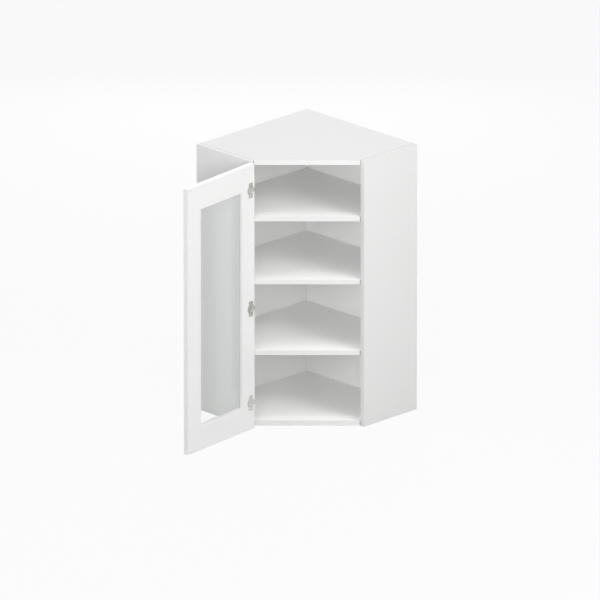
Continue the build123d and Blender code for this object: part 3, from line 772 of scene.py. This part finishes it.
HALF_FLOOR = 15.0
FLOOR_GAP = 0.5 * MM
floor_level = cad_box[0].z - FLOOR_GAP
signs = ((-1, -1), (1, -1), (1, 1), (-1, 1))
floor_corners = [(HALF_FLOOR * x, HALF_FLOOR * y, floor_level) for x, y in signs]
floor_mesh = bpy.data.meshes.new("floor")
floor_mesh.from_pydata(floor_corners, [], [(0, 1, 2, 3)])
floor = bpy.data.objects.new("floor", floor_mesh)
bpy.context.scene.collection.objects.link(floor)
floor_mesh.materials.append(floor_finish())


def surround_light(world):
    """White to the eye, in reflections and through glass, and a low even light on surfaces."""
    surround = Finish("surround", world)
    strength = WORLD_LIGHT + seen_rays(surround) * (1.0 - WORLD_LIGHT)
    white = surround.add("ShaderNodeBackground", values={"Color": WHITE, "Strength": strength})
    surround.add("ShaderNodeOutputWorld", values={"Surface": white["Background"]})


world = bpy.data.worlds.new("studio")
bpy.context.scene.world = world
surround_light(world)


def direction(azimuth, elevation):
    """Unit vector from the object towards a viewer at those angles, in degrees."""
    a, e = math.radians(azimuth), math.radians(elevation)
    side = math.cos(e)
    return Vector((math.sin(a) * side, -math.cos(a) * side, math.sin(e)))


def lamp(name, place, out, width, height, power):
    """A soft oblong lamp of a power in watts that shines against the direction out, unseen
    itself."""
    data = bpy.data.lights.new(name, "AREA")
    data.shape = "RECTANGLE"
    data.size = width
    data.size_y = height
    data.energy = power
    lamp_object = bpy.data.objects.new(name, data)
    bpy.context.scene.collection.objects.link(lamp_object)
    lamp_object.location = place
    lamp_object.rotation_mode = "QUATERNION"
    lamp_object.rotation_quaternion = (-out).to_track_quat("-Z", "Y")
    lamp_object.visible_camera = False
    return lamp_object


# Each lamp's azimuth and elevation, its distance and side in metres, its power, and whether
# surfaces mirror it: the front one would whiten the top's sheen seen from behind
middle = (cad_box[0] + cad_box[1]) / 2
for name, azimuth, elevation, away, side, power, mirrored in (
    ("key", 95.0, 26.0, 4.0, 1.6, 76.0, True),
    ("front", 41.0, 18.0, 6.0, 1.8, 142.0, False),
    ("top", 30.0, 82.0, 4.0, 2.5, 46.0, True),
    ("left", 330.0, 20.0, 4.0, 2.0, 46.0, True),
    ("back", 225.0, 12.0, 4.0, 2.0, 62.0, True),
):
    out = direction(azimuth, elevation)
    placed = lamp(name, middle + away * out, out, side, side, power)
    placed.visible_glossy = mirrored

# The inside would stay dark between the shelves, so a faint panel of light fills the opening
# from just behind the boards' front edges.
FILL_BEHIND = 2.0 * MM
FILL_WIDTH = 0.41
FILL_HEIGHT = 1.03
FILL_POWER = 1.15
out = direction(45.0, 0.0)
hindmost = min(front_plane(node) for node in LEVEL_BOARDS)
opening = (hindmost - FILL_BEHIND) * out + Vector((0, 0, middle.z))
fill = lamp("fill", opening, out, FILL_WIDTH, FILL_HEIGHT, FILL_POWER)
fill.visible_glossy = False
fill.visible_transmission = False


# Camera
# The picture looks square at the diagonal front from about 19 degrees above, and its upright and
# level lines stay parallel, so the lens is very long and far away. Pixels are of a 600 px square.

PICTURE = 600
PX_PER_METRE = 259.9
CORNER_PX = (306.9, 108.0)
VIEW_AZIMUTH = 45.0
VIEW_ELEVATION = 19.3
SENSOR = 36.0
LENS = 1200.0
# The scale is true in the plane that lies this far in front of the room's corner
TRUE_DEPTH = 0.3
FARTHEST = 1000.0
camera_data = bpy.data.cameras.new("camera")
camera_data.sensor_width = SENSOR
camera_data.lens = LENS
camera_data.clip_end = FARTHEST
camera = bpy.data.objects.new("camera", camera_data)
bpy.context.scene.collection.objects.link(camera)
bpy.context.scene.camera = camera
back = direction(VIEW_AZIMUTH, VIEW_ELEVATION)
right = Vector((1 / ROOT2, 1 / ROOT2, 0))
up = back.cross(right)
corner_top = Vector((0, 0, cad_box[1].z))
sideways = (PICTURE / 2 - CORNER_PX[0]) / PX_PER_METRE
down = (PICTURE / 2 - CORNER_PX[1]) / PX_PER_METRE
target = corner_top + right * sideways - up * down + back * TRUE_DEPTH
distance = PICTURE / PX_PER_METRE * LENS / SENSOR
camera.location = target + back * distance
camera.rotation_mode = "QUATERNION"
camera.rotation_quaternion = (-back).to_track_quat("-Z", "Y")
bpy.context.scene.view_settings.view_transform = "Standard"
